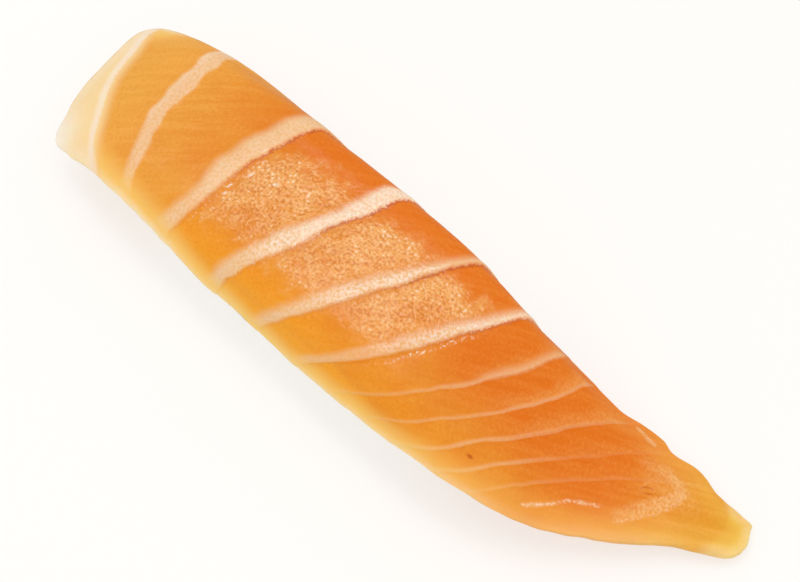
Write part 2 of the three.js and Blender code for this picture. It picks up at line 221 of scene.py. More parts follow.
# ---------- small helpers ----------
def keyed(keys, x):
    """Monotone cubic through (x, y) keys, level past both ends, for a number or an array."""
    kx, ky = np.array(keys, float).T
    width = np.diff(kx)
    slope = np.diff(ky) / width
    tangent = np.concatenate([slope[:1], np.zeros(len(kx) - 2), slope[-1:]])
    for i in range(1, len(kx) - 1):
        if slope[i - 1] * slope[i] > 0:
            a = 2 * width[i] + width[i - 1]
            b = width[i] + 2 * width[i - 1]
            tangent[i] = (a + b) / (a / slope[i - 1] + b / slope[i])
    x = np.clip(x, kx[0], kx[-1])
    k = np.clip(np.searchsorted(kx, x, side="right") - 1, 0, len(kx) - 2)
    u = (x - kx[k]) / width[k]
    return (
        ky[k] * (1 + 2 * u) * (1 - u) ** 2
        + ky[k + 1] * u * u * (3 - 2 * u)
        + width[k] * tangent[k] * u * (1 - u) ** 2
        - width[k] * tangent[k + 1] * u * u * (1 - u)
    )


def smooth(x):
    x = np.clip(x, 0, 1)
    return x * x * (3 - 2 * x)


def rise(x, start, full):
    """0 at start and 1 at full, smooth between and level outside. Full may be the smaller."""
    return smooth((x - start) / (full - start))


def lerp(a, b, share):
    return a + (b - a) * share


def uneven(x, y, size, seed):
    """Smooth value noise from -1 to 1 over the plane, with features of the given size."""
    lattice = np.random.default_rng(SEED + seed).uniform(-1, 1, (LATTICE, LATTICE))
    x, y = np.broadcast_arrays(np.asarray(x) / size + LATTICE_START, np.asarray(y) / size + LATTICE_START)
    i, j = np.floor(x).astype(int), np.floor(y).astype(int)
    u, v = smooth(x - i), smooth(y - j)
    i, j, next_i, next_j = i % LATTICE, j % LATTICE, (i + 1) % LATTICE, (j + 1) % LATTICE
    low = lerp(lattice[i, j], lattice[next_i, j], u)
    high = lerp(lattice[i, next_j], lattice[next_i, next_j], u)
    return lerp(low, high, v)


def spot(place, s, t):
    """Distance from a spot's middle, 1 on its outline."""
    middle_s, middle_t, half_s, half_t = place
    return np.hypot((s - middle_s) / half_s, (t - middle_t) / half_t)


def linear(*srgb):
    """A colour given in 0 to 255 display values, as the shader's linear values with alpha."""
    share = [c / 255 for c in srgb]
    return tuple(c / 12.92 if c <= 0.04045 else ((c + 0.055) / 1.055) ** 2.4 for c in share) + (1.0,)


# ---------- the slice's shape ----------
def corner_cut(r, x):
    """What a rounded corner of radius r takes off the width at distance x from the end."""
    return r - np.sqrt(np.maximum(0, r * r - np.maximum(0, r - x) ** 2))


def left_edge(s):
    corners = corner_cut(CORNER_LEFT, s - HEAD_END[0][1]) + corner_cut(TIP_CORNER_LEFT, SLICE_LENGTH - s)
    return corners - keyed(WIDTH_LEFT, s)


def right_edge(s):
    corners = corner_cut(CORNER_RIGHT, s) + corner_cut(TIP_CORNER_RIGHT, SLICE_LENGTH - s)
    return keyed(WIDTH_RIGHT, s) - corners


def section_angle(s, t, softer=False):
    """Angle of the section below level at distance t from the middle."""
    turn = np.where(t < 0, keyed(BEND_LEFT, s), keyed(BEND_RIGHT, s)) * DEG
    start = np.where(t < 0, keyed(BEND_LEFT_START, s), keyed(BEND_RIGHT_START, s))
    reach = np.where(t < 0, keyed(BEND_LEFT_REACH, s), keyed(BEND_RIGHT_REACH, s))
    if softer:
        start, reach = start - SOFTER_START, reach + SOFTER_REACH
    return CROWN * np.abs(t) + turn * smooth((np.abs(t) - start) / reach)


def spine_at(s):
    """x and z of the middle line of the upper skin."""
    table = np.linspace(0, SLICE_LENGTH, 2001)
    pitch = keyed(PITCH, (table[1:] + table[:-1]) / 2) * DEG
    x = SLICE_START_X + np.concatenate([[0], np.cumsum(np.diff(table) * np.cos(pitch))])
    z = np.concatenate([[0], np.cumsum(np.diff(table) * np.sin(pitch))])
    return np.interp(s, table, x), np.interp(s, table, z - z[-1] + SLICE_TIP_Z)


def reach_table(side, component):
    """How far the section has gone, by s and by distance from the middle, towards one side."""
    along = np.arange(0, SLICE_LENGTH + 2 * TABLE_S, TABLE_S)
    out = np.arange(TABLE_T / 2, TABLE_REACH, TABLE_T)
    angle = section_angle(along[:, None], side * out[None, :])
    return np.pad(np.cumsum(component(angle), axis=1) * TABLE_T, ((0, 0), (1, 0)))


def from_table(table, s, t):
    """Bilinear reading of a reach table."""
    i = np.clip((s / TABLE_S).astype(int), 0, table.shape[0] - 2)
    j = np.clip((np.abs(t) / TABLE_T).astype(int), 0, table.shape[1] - 2)
    u, v = s / TABLE_S - i, np.abs(t) / TABLE_T - j
    return lerp(lerp(table[i, j], table[i + 1, j], u), lerp(table[i, j + 1], table[i + 1, j + 1], u), v)


def thickness_at(s, t):
    full = keyed(THICKNESS, s)
    left = lerp(np.minimum(full, EDGE_LEFT), full, smooth((t - left_edge(s)) / EDGE_LEFT_TAPER))
    right = lerp(np.minimum(full, EDGE_RIGHT), full, smooth((right_edge(s) - t) / EDGE_RIGHT_TAPER))
    return np.minimum(left, right)


def slice_points(s, t, depth):
    """Points at a depth below the upper skin, with a last axis of x, y and z."""
    x, z = spine_at(s)
    lean = SECTION_LEAN * keyed(PITCH, s) * DEG
    reach = {
        (side, component): from_table(reach_table(side, component), s, t)
        for side in (-1, 1) for component in (np.cos, np.sin)
    }
    out = np.where(t < 0, -reach[-1, np.cos], reach[1, np.cos])
    down = np.where(t < 0, reach[-1, np.sin], reach[1, np.sin])
    inward = section_angle(s, t, softer=True)
    y = out - np.sign(t) * depth * np.sin(inward) + keyed(SIDEWAYS, s) + SLICE_SHIFT_Y
    fall = down + depth * np.cos(inward)
    return np.stack([x + fall * np.sin(lean), y, z - fall * np.cos(lean)], axis=-1)


# ---------- fat lines ----------
def fat_course(k, t):
    """s of fat line k at distance t from the middle, straight on past the last crossings."""
    across = np.array(FAT_ACROSS, float)
    along = np.array(FAT_LINES[k][0], float)
    course = keyed(list(zip(across, along)), t)
    course = course + (along[1] - along[0]) / (across[1] - across[0]) * np.minimum(t - across[0], 0)
    course = course + (along[-1] - along[-2]) / (across[-1] - across[-2]) * np.maximum(t - across[-1], 0)
    wander = FAT_WANDER * (uneven(t, 7.3 * k, 3.6, k) + 0.5 * uneven(t, 2.9 * k, 1.3, 20 + k))
    return np.maximum(course + wander, keyed(HEAD_END, t) + 0.1)


def courses(t):
    """s of the head end, of each fat line and of the tail end at distance t from the middle."""
    lines = [fat_course(k, t) for k in range(len(FAT_LINES))]
    return np.stack([keyed(HEAD_END, t), *lines, keyed(TIP_END, t)])


def row_s(band, t):
    """s on a row whose place among the fat lines is band, at distance t from the middle."""
    course = courses(t)
    k = np.broadcast_to(np.minimum(band.astype(int), len(course) - 2), t.shape)
    low = np.take_along_axis(course, k[None], 0)[0]
    high = np.take_along_axis(course, k[None] + 1, 0)[0]
    return lerp(low, high, band - k)


def fat_fields(s, t):
    """The fat lines' relief in mm, and by name what the nearest one shows at each point.

    outside is the distance off its edge, and side runs from -1 on its head side to 1 on its tail side.
    """
    course = courses(t)
    fallen, ridge, haze = np.zeros_like(t), np.zeros_like(t), np.zeros_like(t)
    shown = {name: np.zeros_like(t) for name in ("side", "bold", "step", "glints")}
    shown["outside"] = np.full_like(t, 9.0)

    def lay(**line):
        """Takes a line's values wherever it is the nearest so far."""
        nearer = line["outside"] < shown["outside"]
        for name, value in line.items():
            shown[name] = np.where(nearer, value, shown[name])

    for k, (_, widths, line_bold, line_step, line_glints) in enumerate(FAT_LINES):
        slant = np.hypot(1, fat_course(k, t + 0.5) - fat_course(k, t - 0.5))
        past = (s - course[k + 1]) / slant
        half = np.interp(t, FAT_WIDTH_ACROSS, widths) / 2
        half = half * (1 + 0.2 * uneven(t, 3.1 * k, 2.1, 40 + k))
        half = half * (1 + FLARE * smooth(1 - (t - left_edge(s)) / FLARE_REACH))
        bold = lerp(*line_bold, rise(t, *FAT_BOLD_ACROSS))
        bold = bold * (1 + 0.12 * uneven(t, 5.7 * k, 2.6, 60 + k))
        if k >= THIN_FROM:
            bold = bold * lerp(1, rise(right_edge(s) - t, 0.5, 3), THIN_FADE)
        side = np.clip(past / half, -1, 1)
        lay(outside=np.abs(past) - half, side=side, bold=bold, step=line_step, glints=line_glints)
        band = (course[k + 2] - course[k + 1]) / slant
        drop = line_step * (1 + 0.45 * uneven(t, 9.1 * k, 1.9, 80 + k))
        behind = past - half + 0.12 * uneven(t, s, 0.8, 100)
        coming_up = np.exp(-np.maximum(behind, 0) / (STEP_SHARE * band))
        fallen = np.minimum(fallen, -drop * rise(behind, *STEP_START) * coming_up)
        reach = HAZE_REACH * (1 + 0.4 * uneven(t, 4.3 * k, 1.7, 110))
        veil = np.where(past < 0, smooth(1 - np.maximum(-past - half, 0) / reach), 0)
        haze = np.maximum(haze, HAZES[k] * (rise(t, *HAZE_T) * smooth((right_edge(s) - t) / 3)) * veil)
        height = FAT_RIDGE * min(1, 4 * line_step)
        ridge = np.maximum(ridge, height * np.exp(-((past / (1.1 * half)) ** 2)))
    for line in SHORT_LINES:
        out = off_polyline(line, s, t) - SHORT_WIDTH / 2
        broken = smooth(0.4 + 2 * uneven(s, t, 0.9, 101))
        lay(outside=out, bold=SHORT_BOLD * lerp(0.1, 1.5, broken), step=0)
        ridge = np.maximum(ridge, 0.5 * FAT_RIDGE * smooth(1 - out / 0.4) * broken)
    return fallen + ridge, shown | {"haze": haze}


def off_polyline(line, s, t):
    """Distance from a line of straight stretches."""
    nearest = np.full_like(t, 99.0)
    for (s0, t0), (s1, t1) in zip(line, line[1:]):
        share = ((s - s0) * (s1 - s0) + (t - t0) * (t1 - t0)) / ((s1 - s0) ** 2 + (t1 - t0) ** 2)
        share = np.clip(share, 0, 1)
        nearest = np.minimum(nearest, np.hypot(s - lerp(s0, s1, share), t - lerp(t0, t1, share)))
    return nearest


def stroke(line, half, s, t, reach=1.5):
    """1 along a line of straight stretches, fading to 0 at reach times its half width."""
    return smooth(reach - off_polyline(line, s, t) / half)


# ---------- meshes ----------
def add_object(name, data):
    thing = bpy.data.objects.new(name, data)
    bpy.context.scene.collection.objects.link(thing)
    return thing


def new_piece(name, points, faces, material):
    """A smooth mesh object from points in millimetres."""
    mesh = bpy.data.meshes.new(name)
    mesh.from_pydata((np.asarray(points) * MM).tolist(), [], faces)
    mesh.materials.append(material)
    mesh.polygons.foreach_set("use_smooth", [True] * len(mesh.polygons))
    mesh.update()
    return add_object(name, mesh)


def point_vectors(piece, name, *values):
    """Stores up to three numbers a vertex under one name."""
    columns = list(values) + [0 * values[0]] * (3 - len(values))
    attribute = piece.data.attributes.new(name, "FLOAT_VECTOR", "POINT")
    attribute.data.foreach_set("vector", np.stack(columns, axis=-1).astype(np.float32).ravel())


def edge_crossing(band, edge):
    """t at which each row meets an edge of the outline."""
    low, high = np.full_like(band, -TABLE_REACH), np.full_like(band, TABLE_REACH)
    for _ in range(40):
        middle = (low + high) / 2
        short = middle < edge(row_s(band, middle))
        low, high = np.where(short, middle, low), np.where(short, high, middle)
    return high


def worn_left_edge(s):
    return left_edge(s) + EDGE_WANDER * (uneven(s, 3, 4.5, 90) - 0.4 * uneven(s, 9, 1.6, 91))


def worn_right_edge(s):
    return right_edge(s) + EDGE_WANDER * (uneven(s, 30, 5.5, 92) - 0.4 * uneven(s, 6, 1.8, 93))


def flat_grid():
    """s and t of the skin's vertices: its rows follow the fat lines, its columns run along the slice."""
    spacing = np.diff(courses(np.array(-4.0)))
    rows = [max(COARSE, round(mm * ROWS_PER_MM)) for mm in spacing]
    rows[-1] += -sum(rows) % COARSE
    band = np.concatenate([[0.0]] + [k + np.arange(1, n + 1) / n for k, n in enumerate(rows)])
    left, right = edge_crossing(band, worn_left_edge), edge_crossing(band, worn_right_edge)
    t = lerp(left[:, None], right[:, None], np.linspace(0, 1, COLUMNS + 1)[None, :])
    return row_s(band[:, None], t), t


def surface_normals(grid):
    """Outward unit normals of a (rows, columns, 3) grid of the upper skin."""
    normal = np.cross(np.gradient(grid, axis=0), np.gradient(grid, axis=1))
    return normal / np.maximum(np.linalg.norm(normal, axis=-1, keepdims=True), 1e-9)


def grid_numbers(rows, columns):
    return np.arange((rows + 1) * (columns + 1)).reshape(rows + 1, columns + 1)


def outline_loop(rows, columns):
    """Row and column numbers once round the grid."""
    index = grid_numbers(rows, columns)
    loop = np.concatenate([index[:-1, 0], index[-1, :-1], index[:0:-1, -1], index[0, :0:-1]])
    return np.divmod(loop, columns + 1)


def off_outline(s, t, loop):
    """Distance from the slice's cut outline, measured flat."""
    loop_s, loop_t = s[loop], t[loop]
    return np.stack([
        np.min(np.hypot(s_row[:, None] - loop_s, t_row[:, None] - loop_t), axis=1)
        for s_row, t_row in zip(s, t)
    ])


def film_grain(s, t):
    """How brightly the moist grain of the top catches the light, 0 to 1: the strength of its painted sheen.
    """
    bent_s = s + 0.5 * uneven(s, t, 2.3, 70)
    bent_t = t + 0.5 * uneven(s, t, 2.7, 71)
    along = bent_s * math.cos(FIBRE_TURN) + bent_t * math.sin(FIBRE_TURN)
    across = bent_t * math.cos(FIBRE_TURN) - bent_s * math.sin(FIBRE_TURN)
    sheen_clump = 0.8 * uneven(s, t, 3.2, 74) - 0.1
    for middle_s, middle_t, reach in SHEEN_CLUMPS:
        sheen_clump = sheen_clump + smooth(1 - spot((middle_s, middle_t, reach, reach), s, t))
    fine = uneven(along / GRAIN_DRAWN_OUT, across, GRAIN_SIZE, 72)
    medium = uneven(across, along, 2.6 * GRAIN_SIZE, 73)
    return smooth(0.5 + 0.16 * fine + 0.16 * medium + 0.3 * sheen_clump)


def sheen_area(s, t):
    """1 on the level top, where the skin is moist and grainy and its colour carries a painted sheen."""
    along = rise(s - fat_course(2, t), *SHEEN_HEAD) * rise(s - fat_course(5, t), *SHEEN_TAIL)
    return along * rise(t, *SHEEN_LEFT_T) * rise(t, *SHEEN_RIGHT_T)


def skin_relief(s, t, fat_relief, inset):
    """How far the upper skin stands off its even form, in mm."""
    oval = spot(OVAL, s, t)
    relief = fat_relief * lerp(0.4, 1, smooth(inset / 2))
    slow = uneven(s, t, 13, 60) + 0.35 * uneven(s, t, 4, 61)
    relief = relief + UNDULATION * slow * smooth(inset / 3)
    relief = relief + GRAIN_RELIEF * uneven(s, t, 0.6, 62) * lerp(0.15, 1, sheen_area(s, t))
    relief = relief + OVAL_RELIEF * np.exp(-(((oval - 1.1) / 0.3) ** 2)) - OVAL_RELIEF * smooth(1 - oval)
    return relief + PATCH_RELIEF * uneven(s, t, 0.9, 63) * smooth(1.5 - spot(PATCH, s, t))


def upper_faces(rows, columns):
    index = grid_numbers(rows, columns)
    corners = [index[:-1, :-1], index[1:, :-1], index[1:, 1:], index[:-1, 1:]]
    return np.stack(corners, axis=-1).reshape(-1, 4).tolist()


def lower_faces(rows, columns):
    """Faces COARSE steps a side that keep every vertex of the outline, as (row, column) corners."""
    def span(start, stop, fine):
        step = 1 if stop > start else -1
        return range(start, stop, step) if fine else (start,)

    faces = []
    for i in range(0, rows, COARSE):
        for j in range(0, columns, COARSE):
            a, b = i + COARSE, j + COARSE
            faces.append(
                [(i, q) for q in span(j, b, i == 0)]
                + [(q, b) for q in span(i, a, b == columns)]
                + [(a, q) for q in span(b, j, a == rows)]
                + [(q, j) for q in span(a, i, j == 0)]
            )
    return faces


def painted_edge_glow(s, t):
    """Strength of the cut edge's yellow and of its cream, and how far the head's corner pales: painted
    light shining through the thin slice.
    """
    right = smooth(0.5 + (t - np.where(s > 90, 4, 0)) / 6)
    tip = smooth((s - keyed(TIP_END, t) + 2 * TIP_PALES) / TIP_PALES)
    yellow = np.maximum(lerp(keyed(YELLOW_LEFT, s), keyed(YELLOW_RIGHT, s), right), 0.8 * tip)
    cream = np.maximum(lerp(keyed(CREAM_LEFT, s), keyed(CREAM_RIGHT, s), right), 0.4 * tip)
    corner = 1 - np.hypot(s - HEAD_END[0][1], t - HEAD_END[0][0]) / CORNER_PALES
    return yellow, cream, smooth(corner)


def flesh_tones(s, t):
    """How far the left side turns a deeper yellow-orange, painted light shining through the thin flank, how
    light the head and how yellow the tail.
    """
    amber_glow = 0.8 * rise(t, *AMBER_T) * rise(s, *AMBER_HEAD_S) * rise(s, *AMBER_TAIL_S)
    amber_glow = amber_glow * lerp(1, 0.5, rise(s, *AMBER_WEAKER_S))
    flank = rise(t, *FLANK_T) * rise(s, *AMBER_HEAD_S) * rise(s, *FLANK_TAIL_S)
    head = np.maximum(rise(s, *HEAD_S), 0.6 * rise(t, *HEAD_LEFT_T) * rise(s, *HEAD_LEFT_S))
    return np.maximum(amber_glow, flank), head, rise(s, *TAIL_S)


def deeper_and_shaded_flesh(s, t):
    """Where the flesh is a deeper orange; along the right side this is painted shade."""
    deep_shade = rise(t, *DEEP_SHADE_RIGHT_T) * rise(s, *DEEP_SHADE_RIGHT_S)
    deep_shade = np.maximum(deep_shade, rise(s, *DEEP_BACK_S) * rise(t, *DEEP_BACK_T)) * rise(s, *DEEP_TAIL_S)
    before_second = fat_course(1, t) - 0.9 - s
    return np.maximum(deep_shade, 0.4 * smooth(1 - before_second / 3.5) * smooth(1 + before_second))


def rough_patch(s, t):
    """The pale film near the tail, and the ring round the oval, a painted highlight on its raised lip."""
    oval = np.exp(-(((spot(OVAL, s, t) - 1.15) / 0.25) ** 2))
    oval = 0.5 * oval * smooth(0.7 + uneven(s, t, 0.8, 111))
    membrane = stroke(MEMBRANE, MEMBRANE_HALF, s, t) * lerp(0.35, 1, rise(s, *MEMBRANE_S))
    return np.maximum(np.maximum(membrane, 0.3 * smooth(1.6 - spot(PATCH, s, t))), oval)


def skin_fields(s, t, inset, lines):
    """What the material reads at each point: up to three numbers under each name."""
    # Painted shade in the creases round the oval, laid with the dark fleck.
    puckers = [0.5 * stroke(pucker, PUCKER_HALF, s, t, 1.6) for pucker in PUCKERS]
    fleck_and_shade = np.maximum.reduce([smooth(2.2 - 1.6 * spot(FLECK, s, t)), *puckers])
    beyond = smooth(1 + (fat_course(0, t) - s) / BEYOND_REACH)
    # Painted glints: the short gleams, and the dots along the dotted line and the film's edge.
    gleams = np.maximum.reduce([stroke(gleam, GLEAM_HALF, s, t, 1.6) for gleam in GLEAMS])
    glint_dots = stroke(DOTTED_LINE, DOTS_HALF, s, t)
    glint_dots = np.maximum(glint_dots, 0.7 * stroke(MEMBRANE_EDGE, MEMBRANE_EDGE_HALF, s, t))
    return {
        "fat_line": (np.clip(lines["outside"], -6, 6), lines["side"], lines["bold"]),
        "tone": flesh_tones(s, t),
        "marks": (deeper_and_shaded_flesh(s, t), sheen_area(s, t), rough_patch(s, t)),
        "rim": (np.minimum(inset, 8), fleck_and_shade, beyond),
        "edges": (lines["step"] / FULL_STEP, film_grain(s, t), lines["glints"]),
        "paling": painted_edge_glow(s, t),
        "film": (lines["haze"], gleams, glint_dots),
    }


def closed_skin(upper, lower, loop):
    """Points and faces of both sides and the rounded cut edge, and the points that the underside keeps."""
    rows, columns = upper.shape[0] - 1, upper.shape[1] - 1
    faces = upper_faces(rows, columns)
    below = lower_faces(rows, columns)
    used = sorted({corner for face in below for corner in face})
    number = {corner: upper[..., 0].size + n for n, corner in enumerate(used)}
    faces += [[number[corner] for corner in face] for face in below]
    under = tuple(np.array(used).T)

    top, bottom = upper[loop], lower[loop]
    inner = upper[np.clip(loop[0], 2, rows - 2), np.clip(loop[1], 2, columns - 2)]
    outward = (top - inner) / np.linalg.norm(top - inner, axis=-1, keepdims=True)
    bulge = RIM_BULGE * np.linalg.norm(top - bottom, axis=-1, keepdims=True)
    rims = [lerp(top, bottom, k) + outward * bulge * math.sqrt(1 - (2 * k - 1) ** 2) for k in RIM_SHARES]
    ring = loop[0] * (columns + 1) + loop[1]
    start = upper[..., 0].size + len(used)
    rings = [ring] + [start + n * len(ring) + np.arange(len(ring)) for n in range(RIM_ROWS)]
    rings.append(np.array([number[corner] for corner in zip(*(axis.tolist() for axis in loop))]))
    for above, next_ring in zip(rings, rings[1:]):
        quads = [above, next_ring, np.roll(next_ring, -1), np.roll(above, -1)]
        faces += np.stack(quads, axis=-1).tolist()
    return np.concatenate([upper.reshape(-1, 3), lower[under], *rims]), faces, under


def build_slice(material):
    """The slice as one closed skin, with what its material reads stored at every vertex."""
    s, t = flat_grid()
    loop = outline_loop(s.shape[0] - 1, s.shape[1] - 1)
    inset = off_outline(s, t, loop)
    fat_relief, lines = fat_fields(s, t)
    upper = slice_points(s, t, 0 * t)
    upper = upper + surface_normals(upper) * skin_relief(s, t, fat_relief, inset)[..., None]
    thick = thickness_at(s, t)
    points, faces, under = closed_skin(upper, slice_points(s, t, thick), loop)
    piece = new_piece("Salmon_Slice", points, faces, material)

    def spread(field):
        """A grid field at every vertex of the piece, in the order of its points."""
        return np.concatenate([field.ravel(), field[under]] + [field[loop]] * RIM_ROWS)

    depth = np.concatenate([0 * s.ravel(), thick[under]] + [k * thick[loop] for k in RIM_SHARES])
    point_vectors(piece, "flat", spread(s), spread(t), depth)
    for name, fields in skin_fields(s, t, inset, lines).items():
        point_vectors(piece, name, *(spread(field) for field in fields))
    return piece


# ---------- materials ----------
class Shader:
    """A node material with one Principled shader and short ways to add nodes."""

    def __init__(self, name):
        self.material = bpy.data.materials.new(name)
        self.material.use_nodes = True
        self.tree = self.material.node_tree
        self.surface = self.tree.nodes["Principled BSDF"]
        self.known = {}

    def add(self, kind, inputs=None, **settings):
        node = self.tree.nodes.new(kind)
        for name, value in settings.items():
            setattr(node, name, value)
        for name, value in (inputs or {}).items():
            self.put(node.inputs[name], value)
        return node

    def put(self, socket, value):
        if isinstance(value, bpy.types.NodeSocket):
            self.tree.links.new(value, socket)
        else:
            socket.default_value = value

    def finished(self, inputs):
        for name, value in inputs.items():
            self.put(self.surface.inputs[name], value)
        return self.material

    def vector(self, name):
        return self.add("ShaderNodeAttribute", attribute_name=name).outputs["Vector"]

    def read(self, name):
        """The three numbers stored under one name."""
        if name not in self.known:
            self.known[name] = self.add("ShaderNodeSeparateXYZ", {0: self.vector(name)}).outputs
        return self.known[name]

    def math(self, operation, a, b=0):
        return self.add("ShaderNodeMath", {0: a, 1: b}, operation=operation).outputs[0]

    def plus(self, a, b):
        return self.math("ADD", a, b)

    def larger(self, a, b):
        return self.math("MAXIMUM", a, b)

    def times(self, first, *others):
        for other in others:
            first = self.math("MULTIPLY", first, other)
        return first

    def sway(self, value, size, middle=0.5):
        """How far a value is off its middle, times size."""
        return self.times(self.math("SUBTRACT", value, middle), size)

    def mix(self, a, b, share):
        node = self.add("ShaderNodeMix", data_type="RGBA")
        self.put(node.inputs["Factor"], share)
        self.put(node.inputs[6], a)
        self.put(node.inputs[7], b)
        return node.outputs[2]

    def layered(self, colour, *layers):
        """The colour with others laid over it in turn, each with its share."""
        for over, share in layers:
            colour = self.mix(colour, over, share)
        return colour

    def noise(self, vector, scale, detail=2, roughness=0.5):
        inputs = {"Vector": vector, "Scale": scale, "Detail": detail, "Roughness": roughness}
        return self.add("ShaderNodeTexNoise", inputs).outputs["Fac"]

    def bump(self, height, strength, distance):
        inputs = {"Height": height, "Strength": strength, "Distance": distance}
        return self.add("ShaderNodeBump", inputs).outputs[0]

    def ramp(self, value, low, high, start=0, end=1):
        """From start at low to end at high, smooth between and level outside."""
        node = self.add("ShaderNodeMapRange", interpolation_type="SMOOTHSTEP")
        sockets = ("Value", "From Min", "From Max", "To Min", "To Max")
        for name, number in zip(sockets, (value, low, high, start, end)):
            self.put(node.inputs[name], number)
        return node.outputs[0]

FLESH = linear(231, 137, 37)
FLESH_LIGHT = linear(235, 147, 44)
# Deeper orange, painted shade along the right side.
FLESH_DEEP_AND_SHADE = linear(229, 112, 18)
# Painted light shining through the thin left flank.
FLESH_AMBER_GLOW = linear(255, 168, 34)
FLESH_SHADE = linear(214, 108, 20)
FLESH_HEAD = linear(240, 171, 72)
# Painted light shining through the thin head end and its corner.
HEAD_PALE_GLOW = linear(254, 222, 166)
CORNER_PALE_GLOW = linear(255, 243, 226)
FLESH_TAIL = linear(229, 157, 39)
FIBRE_LIGHT = linear(250, 184, 92)
# Painted sheen of the level top: pale highlights, and painted shade in the pits between grains.
FILM_HAZE_AND_SHEEN = linear(244, 174, 97)
FILM_PIT_SHADE = linear(200, 94, 12)
PALE_FILM_AND_SHEEN = linear(253, 209, 153)
# A painted glint.
GLINT = linear(255, 236, 216)
# Painted shade in the crease behind each fat line's step.
CREASE_SHADE = linear(194, 72, 10)
FAT = linear(240, 190, 134)
# Whiter fat, and the painted sheen and glints on the fat lines.
FAT_WHITE_AND_SHEEN = linear(254, 226, 203)
FAT_HEAD = linear(255, 230, 202)
# Painted light shining through the thin cut edge and tip.
RIM_YELLOW_GLOW = linear(255, 204, 110)
TIP_YELLOW_GLOW = linear(241, 201, 88)
RIM_CREAM_GLOW = linear(255, 232, 194)
RIM_BROWN = linear(206, 140, 84)
# The dark fleck, and painted shade in the creases round the oval.
FLECK_AND_SHADE_RED = linear(184, 60, 14)


def flesh_colour(m, flat, clouds, fibre, grain, pebble):
    """The flesh between the fat lines, with painted shade along the right side, painted light through the
    thin flank and head end, and the painted sheen of the grainy level top.
    """
    amber_glow, head, tail = m.read("tone")
    deep_shade, sheen, _ = m.read("marks")
    inset, _, beyond = m.read("rim")
    outside, _, _ = m.read("fat_line")
    _, film, _ = m.read("edges")
    _, _, pale_corner_glow = m.read("paling")
    haze, _, _ = m.read("film")
    # Painted light shining through the thin head end, its edge and corner.
    head_rim_glow = m.times(m.ramp(inset, 0.6, 3.2, 0.3, 0), m.ramp(beyond, 0.3, 1))
    at_ends = m.plus(m.ramp(head, 0, 0.4, 0.1, 0.28), m.times(tail, 0.3))
    # Where the level top carries its painted sheen: highlights, and painted shade in the pits.
    sheen_paint = m.ramp(m.plus(sheen, m.plus(m.sway(clouds, 1.2), m.sway(film, 0.5))), 0.05, 1)
    sheen_paint = m.times(sheen_paint, m.ramp(sheen, 0, 0.15), m.ramp(outside, 0.1, 1.5, 0.15, 1))
    streaked = m.plus(pebble, m.sway(fibre, 0.45))
    bright = m.plus(m.times(film, 0.25), pebble)
    return m.layered(
        m.mix(FLESH, FLESH_LIGHT, m.ramp(m.noise(flat, 0.2, 3, 0.55), 0.35, 0.68)),
        (FLESH_DEEP_AND_SHADE, m.times(deep_shade, 0.85)),
        (FLESH_AMBER_GLOW, m.times(amber_glow, 0.9)),
        (FLESH_HEAD, m.times(head, 0.9)),
        (HEAD_PALE_GLOW, m.times(beyond, 0.95)),
        (CORNER_PALE_GLOW, m.larger(pale_corner_glow, head_rim_glow)),
        (FLESH_TAIL, m.times(tail, 0.85)),
        (FIBRE_LIGHT, m.times(m.ramp(fibre, 0.4, 0.65), at_ends, m.ramp(beyond, 0, 0.6, 1, 0))),
        (FLESH_SHADE, m.times(m.ramp(grain, 0.52, 0.3, 0, 0.25), m.ramp(beyond, 0, 0.5, 1, 0))),
        (FIBRE_LIGHT, m.ramp(grain, 0.5, 0.7, 0, 0.16)),
        (FILM_HAZE_AND_SHEEN, m.times(haze, m.ramp(grain, 0.35, 0.6, 0.4, 1))),
        (PALE_FILM_AND_SHEEN, m.times(sheen_paint, 0.35, m.ramp(clouds, 0.5, 0.72))),
        (FLESH, m.times(sheen_paint, 0.45, m.ramp(clouds, 0.48, 0.3))),
        (FILM_HAZE_AND_SHEEN, m.times(sheen_paint, m.ramp(film, 0, 1, 0.25, 1))),
        (FILM_PIT_SHADE, m.times(sheen_paint, 0.5, m.ramp(streaked, 0.5, 0.3))),
        (PALE_FILM_AND_SHEEN, m.times(sheen_paint, 0.52, m.ramp(streaked, 0.5, 0.72))),
        (GLINT, m.times(m.ramp(bright, 0.8, 0.93), sheen_paint, 0.8)),
    )


